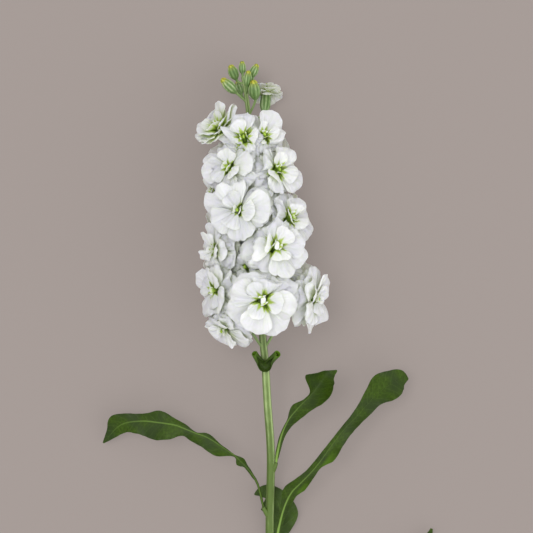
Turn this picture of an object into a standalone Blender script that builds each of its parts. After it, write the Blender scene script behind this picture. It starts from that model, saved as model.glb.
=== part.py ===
"""A cut stem of double stock, lying on its side as set down on a table.

The stem runs along +Y towards the flower head, the table is z = 0, and +Z points up from it.
Shapes are worked out in millimetres and become metres when a mesh is made.
"""

import math
import random

import bpy
from mathutils import Vector

MM = 0.001
UP = Vector((0.0, 0.0, 1.0))

# The stem's centreline from the cut end to the tip: x, y, z and radius.
# Its lower end lies on the table, and it arches so that the whole head rests on its petals.
STEM_LINE = (
    (1.0, -199.4, 2.64, 2.80),
    (1.0, -188.0, 2.64, 2.80),
    (1.2, -150.0, 5.5, 2.80),
    (1.2, -95.0, 14.0, 2.75),
    (1.9, -52.0, 21.0, 2.70),
    (-0.3, -18.0, 26.5, 2.60),
    (-1.8, 8.0, 30.6, 2.50),
    (-3.4, 25.0, 32.9, 2.40),
    (-6.1, 63.0, 34.8, 2.20),
    (-9.4, 114.0, 31.3, 1.90),
    (-11.9, 160.0, 25.0, 1.60),
    (-14.4, 182.0, 22.0, 1.35),
    (-16.4, 192.0, 20.8, 1.00),
)
STEM_SIDES = 8
STEM_STEP = 17.0
STALK_SIDES = 4
STALK_RADIUS = 0.85
CUT_SLANT = 2.5

# Each bloom: place along the stem, angle round it (0 faces up, 90 faces +X), distance of
# its throat from the stem's centre, tilt towards the tip, its petals' length, the angle of
# its inner petals from its axis, and how far it has opened.
BLOOMS = (
    ("a", 147.0, -8.0, 26.0, 8.0, 18.0, 62.0, 1.0),
    ("b", 129.5, -33.0, 25.5, 8.0, 21.0, 66.0, 1.0),
    ("c", 126.5, 37.0, 26.0, 5.0, 20.5, 56.0, 1.0),
    ("d", 102.5, -18.0, 30.5, 5.0, 22.5, 70.0, 1.0),
    ("e", 97.0, 48.0, 30.0, 10.0, 20.5, 42.0, 1.0),
    ("f", 79.5, 20.0, 34.5, 5.0, 22.0, 50.0, 1.0),
    ("g", 81.0, -58.0, 30.5, 5.0, 19.5, 58.0, 1.0),
    ("h", 57.0, -58.0, 32.5, 0.0, 21.0, 72.0, 1.0),
    ("i", 50.0, 3.0, 37.0, -5.0, 21.8, 76.0, 1.0),
    ("j", 48.0, 60.0, 39.5, -8.0, 19.5, 66.0, 1.0),
    ("k", 34.0, -50.0, 30.5, -35.0, 18.5, 62.0, 1.0),
    ("l", 65.0, 42.0, 27.0, -5.0, 18.5, 60.0, 1.0),
    ("m", 157.0, -52.0, 25.5, 38.0, 16.5, 60.0, 0.6),
    ("n", 184.0, 133.0, 18.5, 72.0, 9.0, 60.0, 0.95),
    ("o", 118.0, -92.0, 25.0, 0.0, 19.0, 66.0, 1.0),
    ("p", 44.0, 178.0, 30.0, -15.0, 20.0, 66.0, 1.0),
    ("q", 57.0, 126.0, 28.0, -8.0, 19.5, 66.0, 1.0),
    ("r", 60.0, -128.0, 31.0, -5.0, 21.0, 66.0, 1.0),
    ("s", 80.0, -176.0, 28.5, 0.0, 20.5, 66.0, 1.0),
    ("t", 99.0, 106.0, 27.5, 5.0, 20.0, 66.0, 1.0),
    ("u", 92.0, -128.0, 27.5, 5.0, 20.0, 66.0, 1.0),
    ("v", 112.0, 166.0, 25.0, 5.0, 20.0, 66.0, 1.0),
    ("w", 138.0, -144.0, 22.0, 10.0, 18.5, 66.0, 1.0),
    ("x", 134.0, 116.0, 22.5, 10.0, 18.5, 66.0, 1.0),
    ("y", 154.0, 172.0, 20.0, 8.0, 17.5, 66.0, 1.0),
    ("z", 69.0, -17.0, 24.5, 0.0, 17.0, 66.0, 1.0),
    ("aa", 148.0, 20.0, 24.0, 10.0, 17.0, 50.0, 1.0),
)
THROAT_DEPTH = 4.0
# Each calyx's length and radius, and how far down the stem from its bloom its stalk begins.
CALYX = (9.0, 2.6, 9.0)
OTHER_CALYCES = {"j": (9.0, 2.6, 31.0), "k": (9.0, 2.6, 17.0), "n": (12.0, 3.4, 22.0)}

# Each layer of petals: how many, then as shares of the bloom's petal length their length and
# half width, their angles from the bloom's axis at the claw and further out, and then the
# height and radius at which the claws begin, and the rows of points of a petal.
# The inner layer's last angle is the bloom's own.
FULL_ROWS = ((0.0, 2), (0.42, 3), (0.75, 3), (0.97, 2))
MIDDLE_ROWS = ((0.0, 2), (0.55, 3), (0.96, 2))
SMALL_ROWS = ((0.0, 2), (0.9, 2))
PETAL_LAYERS = (
    (4, 1.0, 0.52, 34.0, 99.0, 0.6, 3.2, FULL_ROWS),
    (4, 0.94, 0.46, 26.0, 83.0, 2.2, 2.6, MIDDLE_ROWS),
    (3, 0.62, 0.3, 14.0, None, 3.8, 1.8, SMALL_ROWS),
)
# Blooms on the underside, which have one small petal fewer.
LOWER_BLOOMS = "opqrstuvwxy"
# The shares of its length between which a petal bends from its first angle to its last.
OPENS_FROM, OPENS_TO = 0.04, 0.34
PETAL_THICKNESS = 0.75
CLAW_SHARE = 0.13
# The throat and the tuft in it, as height and radius up the bloom's axis.
THROAT_PROFILE = ((0.0, 1.7), (4.5, 1.6), (8.0, 1.3))
THROAT_SIDES = 4

# Neighbouring blooms meet at a slanted plane, where the larger one's petals lie on top.
OVERLAP_SLANT = 0.8
CLEARANCE = 0.5
STEM_CLEARANCE = 10.0
SOFT_FROM = 0.7
TABLE_PRESS = 1.8
SEED = 41

# Each bud: where its stalk leaves the stem, the calyx's foot and tip, and its radius.
BUDS = (
    (186.5, (-20.6, 190.4, 21.8), (-23.5, 197.2, 23.3), 3.2),
    (190.0, (-16.4, 194.0, 20.8), (-16.7, 200.0, 21.3), 2.4),
    (188.0, (-10.8, 191.8, 21.3), (-7.8, 198.0, 22.3), 2.7),
    (180.0, (-13.3, 185.4, 28.0), (-12.7, 192.8, 30.0), 2.6),
    (175.0, (-20.8, 181.6, 24.8), (-27.8, 188.2, 27.0), 3.4),
    (166.0, (-8.2, 177.0, 28.0), (-9.1, 186.2, 30.5), 3.7),
    (173.0, (-17.3, 181.2, 16.5), (-19.6, 187.4, 13.8), 2.6),
    (177.0, (-12.4, 187.0, 13.8), (-11.2, 193.6, 10.8), 2.5),
)
BUD_STALK_RADIUS = 0.7
BUD_PROFILE = ((0.0, 0.45), (0.3, 0.95), (0.7, 1.0), (1.0, 0.62))
BUD_TIP_PROFILE = ((0.0, 0.56), (0.15, 0.5), (0.27, 0.22))
BUD_SIDES = 5

# The swelling under each leaf but the top one: its run along the stem, its radii from there
# to the leaf's foot, and the gap to the leaf.
BASE_RUN = 12.0
BASE_RADII = (1.6, 1.7, 1.15, 1.1)
BASE_SIDES = 4
LEAF_GAP = 0.35

# Leaf stations: x, y, z of the midrib, half widths left and right of the way it grows,
# roll about the midrib, and how far each half folds up from flat and curls on to its edge.
LEAF_STATIONS = {
    "leaf_top": (
        (-9.2, 15.2, 36.9, 6.4, 6.4, 0.0, 18.0, 150.0),
        (-6.0, 10.2, 34.4, 6.2, 6.2, 0.0, 14.0, 120.0),
        (-1.9, 5.7, 33.5, 4.6, 4.6, 0.0, 8.0, 60.0),
        (2.3, 10.4, 35.6, 6.0, 6.0, 0.0, 14.0, 120.0),
        (7.1, 15.3, 39.9, 7.4, 7.4, 0.0, 18.0, 150.0),
    ),
    "leaf_left": (
        (-3.1, -85.4, 17.5, 0.7, 0.7, 0.0, 10.0, 0.0),
        (-6.5, -71.2, 21.0, 0.7, 0.7, 0.0, 10.0, 0.0),
        (-10.7, -63.6, 24.0, 1.0, 1.0, 0.0, 15.0, 10.0),
        (-14.6, -58.4, 26.0, 1.4, 1.6, 0.0, 20.0, 10.0),
        (-17.8, -55.2, 27.0, 3.9, 3.3, 0.0, 25.0, 20.0),
        (-21.4, -51.7, 27.8, 0.7, 0.6, 0.0, 10.0, 0.0),
        (-29.9, -45.6, 28.2, 7.5, 0.5, 0.0, 5.0, 25.0),
        (-38.9, -40.0, 28.0, 7.5, 2.6, 0.0, 5.0, 25.0),
        (-46.4, -37.3, 27.4, 6.0, 0.7, 0.0, 5.0, 25.0),
        (-53.0, -34.7, 26.4, 4.8, 2.7, 0.0, 5.0, 10.0),
        (-59.4, -32.4, 25.0, 9.2, 3.9, 0.0, 8.0, 5.0),
        (-66.2, -31.3, 23.4, 10.7, 6.7, 0.0, 5.0, 5.0),
        (-71.1, -30.8, 22.0, 11.4, 7.8, 0.0, 5.0, 5.0),
        (-78.4, -30.1, 20.0, 10.1, 5.2, 0.0, 5.0, 5.0),
        (-85.3, -30.4, 18.0, 7.8, 5.0, 0.0, 5.0, 5.0),
        (-91.8, -31.5, 16.0, 6.1, 6.5, 0.0, 5.0, 5.0),
        (-96.9, -34.0, 14.0, 5.6, 8.2, 0.0, 5.0, 5.0),
        (-101.7, -38.8, 11.0, 3.6, 3.9, 0.0, 5.0, 5.0),
        (-107.1, -45.1, 7.5, 0.5, 0.5, 0.0, 0.0, 0.0),
    ),
    "leaf_upper": (
        (5.3, -56.4, 22.0, 0.6, 0.6, 0.0, 5.0, 0.0),
        (6.2, -49.5, 24.0, 1.3, 1.6, 0.0, 10.0, 0.0),
        (8.7, -38.4, 27.0, 1.0, 2.5, 0.0, 12.0, 0.0),
        (12.8, -29.1, 29.5, 0.8, 4.4, 0.0, 12.0, 10.0),
        (18.4, -21.8, 31.5, 4.4, 6.7, 0.0, 15.0, 20.0),
        (24.0, -15.8, 33.0, 1.3, 8.6, 0.0, 15.0, 30.0),
        (28.5, -11.1, 33.6, 2.8, 11.4, 0.0, 20.0, 35.0),
        (32.2, -6.5, 33.6, 15.7, 13.4, 0.0, 25.0, 40.0),
        (35.4, -2.1, 33.0, 7.4, 10.6, 0.0, 25.0, 40.0),
        (39.1, 1.1, 31.5, 2.4, 5.0, 0.0, 15.0, 20.0),
        (44.1, 2.9, 29.5, 0.5, 0.5, 0.0, 0.0, 0.0),
    ),
    "leaf_right": (
        (5.3, -113.5, 12.6, 0.8, 0.8, 0.0, 5.0, 0.0),
        (6.4, -102.1, 16.0, 0.9, 1.7, 0.0, 10.0, 0.0),
        (8.8, -91.0, 20.0, 1.6, 2.7, 0.0, 15.0, 0.0),
        (11.7, -82.2, 23.0, 3.6, 3.7, 0.0, 15.0, 10.0),
        (15.4, -75.1, 25.4, 6.4, 4.4, 0.0, 15.0, 20.0),
        (20.4, -69.8, 27.2, 5.1, 5.5, 0.0, 15.0, 25.0),
        (26.1, -63.9, 28.8, 3.6, 4.0, 0.0, 15.0, 20.0),
        (31.8, -57.2, 30.0, 3.4, 3.3, 0.0, 15.0, 20.0),
        (36.7, -50.5, 30.8, 3.1, 7.1, 0.0, 15.0, 20.0),
        (42.6, -42.3, 31.0, 2.5, 6.5, 0.0, 15.0, 15.0),
        (49.1, -34.1, 30.6, 2.5, 5.8, 0.0, 15.0, 15.0),
        (55.8, -27.4, 29.6, 3.4, 5.1, 0.0, 12.0, 10.0),
        (61.7, -21.0, 28.2, 4.7, 5.9, 0.0, 8.0, 5.0),
        (67.7, -14.4, 26.4, 7.1, 6.5, 0.0, 5.0, 5.0),
        (74.3, -8.8, 24.0, 10.1, 9.7, 0.0, 4.0, 0.0),
        (81.0, -4.7, 21.6, 8.0, 9.7, 0.0, 4.0, 0.0),
        (86.2, -2.7, 19.6, 5.8, 6.3, 0.0, 0.0, 0.0),
        (90.5, -3.0, 18.0, 0.6, 0.6, 0.0, 0.0, 0.0),
    ),
    "leaf_back": (
        (1.6, -120.9, 6.1, 1.0, 1.0, 0.0, 5.0, 0.0),
        (4.3, -110.7, 4.4, 3.3, 3.3, 0.0, 5.0, 0.0),
        (7.2, -100.2, 4.6, 6.2, 8.2, 0.0, 5.0, 5.0),
        (7.8, -90.9, 5.8, 9.9, 11.8, 0.0, 5.0, 5.0),
        (5.9, -83.0, 7.0, 11.8, 8.5, 0.0, 5.0, 5.0),
        (1.0, -77.1, 7.4, 5.9, 4.9, 0.0, 5.0, 5.0),
        (-4.2, -76.8, 7.0, 3.9, 3.3, 0.0, 5.0, 5.0),
        (-8.8, -78.9, 6.4, 0.5, 0.5, 0.0, 0.0, 0.0),
    ),
    "leaf_low": (
        (5.2, -152.0, 6.0, 1.4, 1.4, 0.0, 5.0, 0.0),
        (16.0, -147.0, 8.5, 1.7, 1.7, 0.0, 10.0, 0.0),
        (32.0, -141.0, 11.5, 4.0, 4.0, 0.0, 12.0, 5.0),
        (53.0, -137.0, 13.0, 7.0, 7.0, 0.0, 10.0, 5.0),
        (75.0, -133.0, 12.5, 8.5, 8.0, 0.0, 8.0, 5.0),
        (93.0, -123.0, 10.0, 6.5, 6.5, 0.0, 5.0, 5.0),
        (103.0, -109.0, 7.6, 3.2, 3.2, 0.0, 5.0, 0.0),
        (106.6, -101.0, 6.6, 0.7, 0.7, 0.0, 0.0, 0.0),
    ),
}
LEAF_THICKNESS = 0.7
RIB_THICKNESS = 1.5
LEAF_STEP = 7.6
LEAF_ACROSS = (-1.0, -0.5, 0.0, 0.5, 1.0)
WAVE_HEIGHT = 1.1
WAVE_LENGTH = 24.0

COLOURS = {
    "green_stem": ((0.24, 0.40, 0.11, 1.0), 0.45),
    "green_leaf": ((0.07, 0.16, 0.03, 1.0), 0.5),
    "white_petal": ((0.86, 0.87, 0.88, 1.0), 0.55),
    "yellow_petal": ((0.52, 0.55, 0.10, 1.0), 0.5),
}


def clear_scene():
    for old in list(bpy.data.objects):
        bpy.data.objects.remove(old, do_unlink=True)


def material_for(slot):
    if slot in bpy.data.materials:
        return bpy.data.materials[slot]
    colour, roughness = COLOURS[slot]
    made = bpy.data.materials.new(slot)
    made.use_nodes = True
    shader = made.node_tree.nodes["Principled BSDF"]
    shader.inputs["Base Color"].default_value = colour
    shader.inputs["Roughness"].default_value = roughness
    shader.inputs["Metallic"].default_value = 0.0
    made.diffuse_color = colour
    return made


def add_object(name, points, faces, slot, collection=None):
    mesh = bpy.data.meshes.new(name)
    mesh.from_pydata([Vector(p) * MM for p in points], [], faces)
    mesh.materials.append(material_for(slot))
    mesh.shade_smooth()
    made = bpy.data.objects.new(name, mesh)
    (collection or bpy.context.scene.collection).objects.link(made)
    return made


def apply_modifiers(target):
    bpy.context.view_layer.update()
    graph = bpy.context.evaluated_depsgraph_get()
    solid = bpy.data.meshes.new_from_object(target.evaluated_get(graph))
    target.modifiers.clear()
    target.data = solid


def union_pieces(name, pieces, slot):
    """One solid from the (points, faces) of closed shapes that overlap."""
    first = add_object(name, *pieces[0], slot)
    others = bpy.data.collections.new(name + "_pieces")
    bpy.context.scene.collection.children.link(others)
    for number, (points, faces) in enumerate(pieces[1:]):
        add_object(f"{name}_piece_{number}", points, faces, slot, others)
    join = first.modifiers.new("join", "BOOLEAN")
    join.operation = "UNION"
    join.operand_type = "COLLECTION"
    join.collection = others
    join.solver = "MANIFOLD"
    apply_modifiers(first)
    for piece in list(others.objects):
        bpy.data.objects.remove(piece, do_unlink=True)
    bpy.data.collections.remove(others)
    return first


def rest_on_table(target):
    """Cuts flat what presses on the table, if anything does."""
    if min(v.co.z for v in target.data.vertices) > -0.02 * MM:
        return
    side, depth = 600.0, 20.0
    low, high = Vector((-side, -side, -depth)), Vector((side, side, 0.0))
    corners = [
        (x, y, z) for x in (low.x, high.x) for y in (low.y, high.y) for z in (low.z, high.z)
    ]
    faces = [(0, 1, 3, 2), (4, 6, 7, 5), (0, 4, 5, 1), (2, 3, 7, 6), (0, 2, 6, 4), (1, 5, 7, 3)]
    table = add_object("table_cutter", corners, faces, "green_stem")
    cut = target.modifiers.new("table", "BOOLEAN")
    cut.operation = "DIFFERENCE"
    cut.object = table
    cut.solver = "MANIFOLD"
    apply_modifiers(target)
    bpy.data.objects.remove(table, do_unlink=True)


def smooth_rows(rows, share):
    """The row at share (0 to 1) of a smooth curve through rows of numbers."""
    place = min(max(share, 0.0), 1.0) * (len(rows) - 1)
    k = min(int(place), len(rows) - 2)
    u = place - k
    before, first, second, after = (
        rows[max(k - 1, 0)],
        rows[k],
        rows[k + 1],
        rows[min(k + 2, len(rows) - 1)],
    )
    return [
        0.5
        * (
            2 * b
            + (c - a) * u
            + (2 * a - 5 * b + 4 * c - d) * u * u
            + (3 * b - a - 3 * c + d) * u**3
        )
        for a, b, c, d in zip(before, first, second, after)
    ]


def share_at(rows, along):
    """The share of a stem line at which its y is along."""
    low, high = 0.0, 1.0
    for _ in range(40):
        middle = (low + high) / 2
        if smooth_rows(rows, middle)[1] < along:
            low = middle
        else:
            high = middle
    return (low + high) / 2


def stem_frame(along):
    """Centre, direction, upward normal, sideways normal and radius of the stem at y = along."""
    share = share_at(STEM_LINE, along)
    x, y, z, radius = smooth_rows(STEM_LINE, share)
    ahead = Vector(smooth_rows(STEM_LINE, share + 0.004)[:3])
    behind = Vector(smooth_rows(STEM_LINE, share - 0.004)[:3])
    direction = (ahead - behind).normalized()
    upward = (UP - direction * direction.z).normalized()
    return Vector((x, y, z)), direction, upward, direction.cross(upward), radius


def ring_tube(centres, radii, sides, start_turn=0.5, slants=None):
    """A closed tube through the centres, with flat ends. Its first side faces down."""
    points, faces = [], []
    count = len(centres)
    reference = None
    for k, centre in enumerate(centres):
        direction = (centres[min(k + 1, count - 1)] - centres[max(k - 1, 0)]).normalized()
        if reference is None:
            guide = UP if abs(direction.z) < 0.9 else Vector((1.0, 0.0, 0.0))
            reference = (guide - direction * direction.dot(guide)).normalized()
        reference = (reference - direction * direction.dot(reference)).normalized()
        across = direction.cross(reference)
        for n in range(sides):
            angle = 2 * math.pi * (n + start_turn) / sides
            offset = reference * math.cos(angle) + across * math.sin(angle)
            slant = slants[k] * math.cos(angle) if slants else 0.0
            points.append(centre + offset * radii[k] + direction * slant)
    for k in range(count - 1):
        for n in range(sides):
            a, b = k * sides + n, k * sides + (n + 1) % sides
            faces.append((a, b, b + sides, a + sides))
    faces.append(tuple(reversed(range(sides))))
    faces.append(tuple(range((count - 1) * sides, count * sides)))
    return points, faces


def turned(foot, axis, profile, sides):
    """A closed solid turned about axis, from (height, radius) pairs."""
    centres = [foot + axis * height for height, _ in profile]
    return ring_tube(centres, [radius for _, radius in profile], sides)


def bent(points, share):
    """A point of the cubic curve with four control points."""
    a, b, c, d = points
    u = 1 - share
    return a * u**3 + b * 3 * u * u * share + c * 3 * u * share**2 + d * share**3


class Bloom:
    """Where one bloom stands, and the room that its neighbours leave it."""

    def __init__(self, number, row):
        self.name, self.along, turn, reach, tilt, self.size, self.inner, self.open = row
        self.number = number
        centre, direction, upward, sideways, _ = stem_frame(self.along)
        turn, tilt = math.radians(turn), math.radians(tilt)
        self.outward = upward * math.cos(turn) + sideways * math.sin(turn)
        self.axis = self.outward * math.cos(tilt) + direction * math.sin(tilt)
        self.throat = centre + self.outward * reach
        self.foot = self.throat - self.axis * THROAT_DEPTH
        self.side = direction.cross(self.axis).normalized()
        self.front = self.axis.cross(self.side)
        self.from_stem = (self.foot - centre).dot(self.outward)
        self.walls = []

    def find_room(self, blooms):
        """Planes, as (outward normal, distance from the foot), that the petals stay inside."""
        for other in blooms:
            if other is self:
                continue
            between = other.throat - self.throat
            distance = between.length
            share = 0.5 + (self.size**2 - other.size**2) / (2 * distance**2)
            meeting = self.throat + between * share
            over = 1 if (self.size, -self.number) > (other.size, -other.number) else -1
            raised = (self.outward + other.outward) * OVERLAP_SLANT / 2
            normal = (between / distance - raised * over).normalized()
            reach = (meeting - self.foot).dot(normal) - CLEARANCE / 2
            self.walls.append((normal, max(reach, 1.0)))
        inner = min(STEM_CLEARANCE, self.from_stem * 0.55)
        self.walls.append((-self.outward, self.from_stem - inner))
        self.walls.append((-UP, self.foot.z + TABLE_PRESS))

    def settle(self, point):
        """Draws a point in along its line from the foot, so that it stays inside the walls."""
        line = point - self.foot
        reach = line.length
        if reach < 1e-6:
            return point
        line = line / reach
        room = min(
            (distance / line.dot(normal) for normal, distance in self.walls if line.dot(normal) > 1e-4),
            default=1e9,
        )
        share = reach / room
        if share <= SOFT_FROM:
            return point
        soft = 1 - SOFT_FROM
        return self.foot + line * room * (1 - soft * math.exp((SOFT_FROM - share) / soft))

    def place(self, local):
        """A point given as (away from the axis, round it, up it), in the part's frame."""
        return self.settle(self.foot + self.side * local.x + self.front * local.y + self.axis * local.z)


def petal_layers(bloom):
    """The layers of petals of one bloom, with small differences drawn from its own seed."""
    draw = random.Random(SEED + bloom.number)
    layers = []
    first_turn = draw.uniform(0, 360)
    for number, (count, length, width, start, end, lift, ring, rows) in enumerate(PETAL_LAYERS):
        layer = []
        last = bloom.inner if end is None else end
        count -= end is None and bloom.name in LOWER_BLOOMS
        for k in range(count):
            turn = first_turn + 360 * k / count + 45 * number + draw.uniform(-10, 10)
            layer.append(
                {
                    "turn": math.radians(turn),
                    "length": bloom.size * length * draw.uniform(0.86, 1.06),
                    "width": bloom.size * width * draw.uniform(0.84, 1.06),
                    "start": math.radians(start),
                    "end": math.radians(last + draw.uniform(-8, 7)) * bloom.open,
                    "curl": math.radians(draw.uniform(4, 34)) * bloom.open,
                    "cup": draw.uniform(-0.30, 0.05),
                    "lift": lift,
                    "ring": ring,
                    "rows": rows,
                }
            )
        layers.append(layer)
    return layers


def petal_width(share):
    """The half width along a petal: a narrow claw, then a broad blade with a round end."""
    blade = min(max((share - 0.12) / 0.88, 0.0), 1.0)
    broad = blade**0.9 * math.sqrt(max(1 - blade**5, 0.0)) / 0.675
    return CLAW_SHARE * (1 - blade) + broad


def petal_point(shape, share, across):
    """A point of the petal's middle surface: share runs from claw to tip, across from -1 to 1."""
    away, up, steps = shape["ring"], shape["lift"], 16
    angle = shape["start"]
    for k in range(steps):
        s = share * (k + 0.5) / steps
        spread = min(max((s - OPENS_FROM) / (OPENS_TO - OPENS_FROM), 0.0), 1.0)
        spread = spread * spread * (3 - 2 * spread)
        angle = shape["start"] + (shape["end"] - shape["start"]) * spread
        angle += shape["curl"] * max(0.0, (s - 0.5) / 0.5) ** 2
        away += math.sin(angle) * shape["length"] * share / steps
        up += math.cos(angle) * shape["length"] * share / steps
    half = shape["width"] * petal_width(share)
    raised = shape["cup"] * half * across * across
    away += -math.cos(angle) * raised
    up += math.sin(angle) * raised
    turned_x = away * math.cos(shape["turn"]) - half * across * math.sin(shape["turn"])
    turned_y = away * math.sin(shape["turn"]) + half * across * math.cos(shape["turn"])
    return Vector((turned_x, turned_y, up))


def stitch(first, second):
    """Triangles between two rows of point numbers that may differ in length."""
    triangles, i, j = [], 0, 0
    while i < len(first) - 1 or j < len(second) - 1:
        step_first = (i + 1) / max(len(first) - 1, 1)
        step_second = (j + 1) / max(len(second) - 1, 1)
        if j == len(second) - 1 or (i < len(first) - 1 and step_first <= step_second):
            triangles.append((first[i], first[i + 1], second[j]))
            i += 1
        else:
            triangles.append((first[i], second[j + 1], second[j]))
            j += 1
    return triangles


def sheet_solid(points, triangles, thicknesses):
    """A closed blade: the sheet moved half its thickness to each side, with a rim between."""
    normals = [Vector((0.0, 0.0, 0.0)) for _ in points]
    for a, b, c in triangles:
        normal = (points[b] - points[a]).cross(points[c] - points[a])
        for corner in (a, b, c):
            normals[corner] += normal
    count = len(points)
    front, back = [], []
    for point, normal, thickness in zip(points, normals, thicknesses):
        half = normal.normalized() * thickness / 2
        front.append(point + half)
        back.append(point - half)
    faces = list(triangles) + [(c + count, b + count, a + count) for a, b, c in triangles]
    edges = {(a, b) for t in triangles for a, b in zip(t, t[1:] + t[:1])}
    for a, b in sorted(edges):
        if (b, a) not in edges:
            faces.append((b, a, a + count))
            faces.append((b, a + count, b + count))
    return front + back, faces


def layer_solid(bloom, layer):
    """A layer of petals whose claws meet in a small disc round the bloom's axis."""
    points, ring, triangles = [Vector((0.0, 0.0, layer[0]["lift"]))], [], []
    for shape in layer:
        numbered = []
        for share, wide in shape["rows"]:
            numbered.append(list(range(len(points), len(points) + wide)))
            points += [petal_point(shape, share, -1 + 2 * k / (wide - 1)) for k in range(wide)]
        triangles += [t for a, b in zip(numbered, numbered[1:]) for t in stitch(a, b)]
        ring += numbered[0]
    triangles += [(0, b, a) for a, b in zip(ring, ring[1:] + ring[:1])]
    solid, faces = sheet_solid(points, triangles, [PETAL_THICKNESS] * len(points))
    return [bloom.place(p) for p in solid], faces


def build_blooms(blooms):
    for bloom in blooms:
        throat = turned(bloom.foot, bloom.axis, THROAT_PROFILE, THROAT_SIDES)
        petals = [layer_solid(bloom, layer) for layer in petal_layers(bloom)]
        made = union_pieces("bloom_" + bloom.name, [throat, *petals], "white_petal")
        rest_on_table(made)


def bloom_stalk(bloom):
    """A stalk from the stem that swells into the calyx under the bloom."""
    gap = 0.3
    length, wide, drop = OTHER_CALYCES.get(bloom.name, CALYX)
    top = bloom.foot - bloom.axis * gap
    bottom = top - bloom.axis * length
    joint, direction, _, _, radius = stem_frame(bloom.along - drop)
    leave = joint + (bloom.outward + direction).normalized() * radius
    control = (joint, leave + bloom.outward * 1.5, bottom - bloom.axis * 3.0, bottom)
    centres = [bent(control, share) for share in (0.0, 0.5, 1.0)]
    centres += [bottom + bloom.axis * length * share for share in (0.35, 1.0)]
    radii = [STALK_RADIUS] * 2 + [wide * 0.5, wide, wide * 0.9]
    return ring_tube(centres, radii, STALK_SIDES)


def bud_stalk(row):
    along, foot, tip, radius = row
    foot, tip = Vector(foot), Vector(tip)
    joint = stem_frame(along)[0]
    axis = (tip - foot).normalized()
    length = (tip - foot).length
    control = (joint, joint.lerp(foot, 0.5), foot - axis * 3.0, foot)
    centres = [bent(control, share) for share in (0.0, 0.55)]
    radii = [BUD_STALK_RADIUS] * 2
    for height, wide in BUD_PROFILE:
        centres.append(foot + axis * length * height)
        radii.append(radius * wide)
    return ring_tube(centres, radii, BUD_SIDES)


def leaf_base(stations):
    """The swelling that runs up the stem and out to a leaf's foot."""
    foot, ahead = Vector(stations[0][:3]), Vector(stations[1][:3])
    growth = (ahead - foot).normalized()
    end = foot - growth * LEAF_GAP
    start = stem_frame(foot.y - BASE_RUN)[0]
    middle = stem_frame(foot.y - BASE_RUN / 2)[0]
    control = (start, middle, end - growth * 3.0, end)
    centres = [bent(control, share) for share in (0.0, 0.6)] + [end - growth, end]
    return ring_tube(centres, BASE_RADII, BASE_SIDES)


def build_stem(blooms):
    start, end = STEM_LINE[0][1], STEM_LINE[-1][1]
    count = round((end - start) / STEM_STEP)
    frames = [stem_frame(start + (end - start) * k / count) for k in range(count + 1)]
    centres = [frame[0] for frame in frames]
    slants = [CUT_SLANT] + [0.0] * count
    main = ring_tube(centres, [frame[4] for frame in frames], STEM_SIDES, 0.5, slants)
    stalks = [bloom_stalk(bloom) for bloom in blooms] + [bud_stalk(row) for row in BUDS]
    bases = [leaf_base(rows) for name, rows in LEAF_STATIONS.items() if name != "leaf_top"]
    rest_on_table(union_pieces("stem", [main, *stalks, *bases], "green_stem"))


def build_bud_tips():
    for number, (_, foot, tip, radius) in enumerate(BUDS):
        foot, tip = Vector(foot), Vector(tip)
        axis, length, gap = (tip - foot).normalized(), (tip - foot).length, 0.3
        profile = [(gap + length * up, radius * wide) for up, wide in BUD_TIP_PROFILE]
        points, faces = turned(tip, axis, profile, BUD_SIDES)
        add_object(f"bud_tip_{number + 1}", points, faces, "yellow_petal")


def arc_offset(width, fold, curl):
    """Sideways and upward reach of a half blade that leaves at fold and bends by curl."""
    if abs(curl) < 1e-3:
        return width * math.cos(fold), width * math.sin(fold)
    end = fold + curl
    return (
        width * (math.sin(end) - math.sin(fold)) / curl,
        width * (math.cos(fold) - math.cos(end)) / curl,
    )


def leaf_point(stations, share, across):
    row = smooth_rows(stations, share)
    ahead = Vector(smooth_rows(stations, share + 0.01)[:3])
    behind = Vector(smooth_rows(stations, share - 0.01)[:3])
    direction = (ahead - behind).normalized()
    side = direction.cross(UP).normalized()
    upward = side.cross(direction)
    roll = math.radians(row[5])
    side, upward = (
        side * math.cos(roll) + upward * math.sin(roll),
        upward * math.cos(roll) - side * math.sin(roll),
    )
    width = max(row[4] if across > 0 else row[3], 0.5)
    reach, rise = arc_offset(
        width * abs(across), math.radians(row[6]), math.radians(row[7]) * abs(across)
    )
    return Vector(row[:3]) + side * math.copysign(reach, across) + upward * rise, upward, width


def leaf_length(stations):
    count = 40
    line = [Vector(smooth_rows(stations, k / count)[:3]) for k in range(count + 1)]
    return sum((b - a).length for a, b in zip(line, line[1:]))


def build_leaf(name, stations):
    length = leaf_length(stations)
    rows = max(round(length / LEAF_STEP), 6)
    wave_turns = 2 * math.pi * length / WAVE_LENGTH
    points, thicknesses = [], []
    for k in range(rows + 1):
        share = k / rows
        for across in LEAF_ACROSS:
            point, upward, width = leaf_point(stations, share, across)
            wave = math.sin(wave_turns * share + (1.3 if across > 0 else 3.6))
            height = WAVE_HEIGHT * across * across * min(width / 6.0, 1.0)
            points.append(point + upward * wave * height)
            rib = max(0.0, 1 - abs(across) * 2) * (1 - share)
            thicknesses.append(LEAF_THICKNESS + (RIB_THICKNESS - LEAF_THICKNESS) * rib)
    wide = len(LEAF_ACROSS)
    triangles = []
    for k in range(rows):
        for n in range(wide - 1):
            a = k * wide + n
            triangles.append((a, a + 1, a + wide))
            triangles.append((a + 1, a + wide + 1, a + wide))
    solid, faces = sheet_solid(points, triangles, thicknesses)
    add_object(name, solid, faces, "green_leaf")


def main():
    clear_scene()
    blooms = [Bloom(number, row) for number, row in enumerate(BLOOMS)]
    for bloom in blooms:
        bloom.find_room(blooms)
    build_stem(blooms)
    build_blooms(blooms)
    build_bud_tips()
    for name, stations in LEAF_STATIONS.items():
        build_leaf(name, stations)


main()
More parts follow.
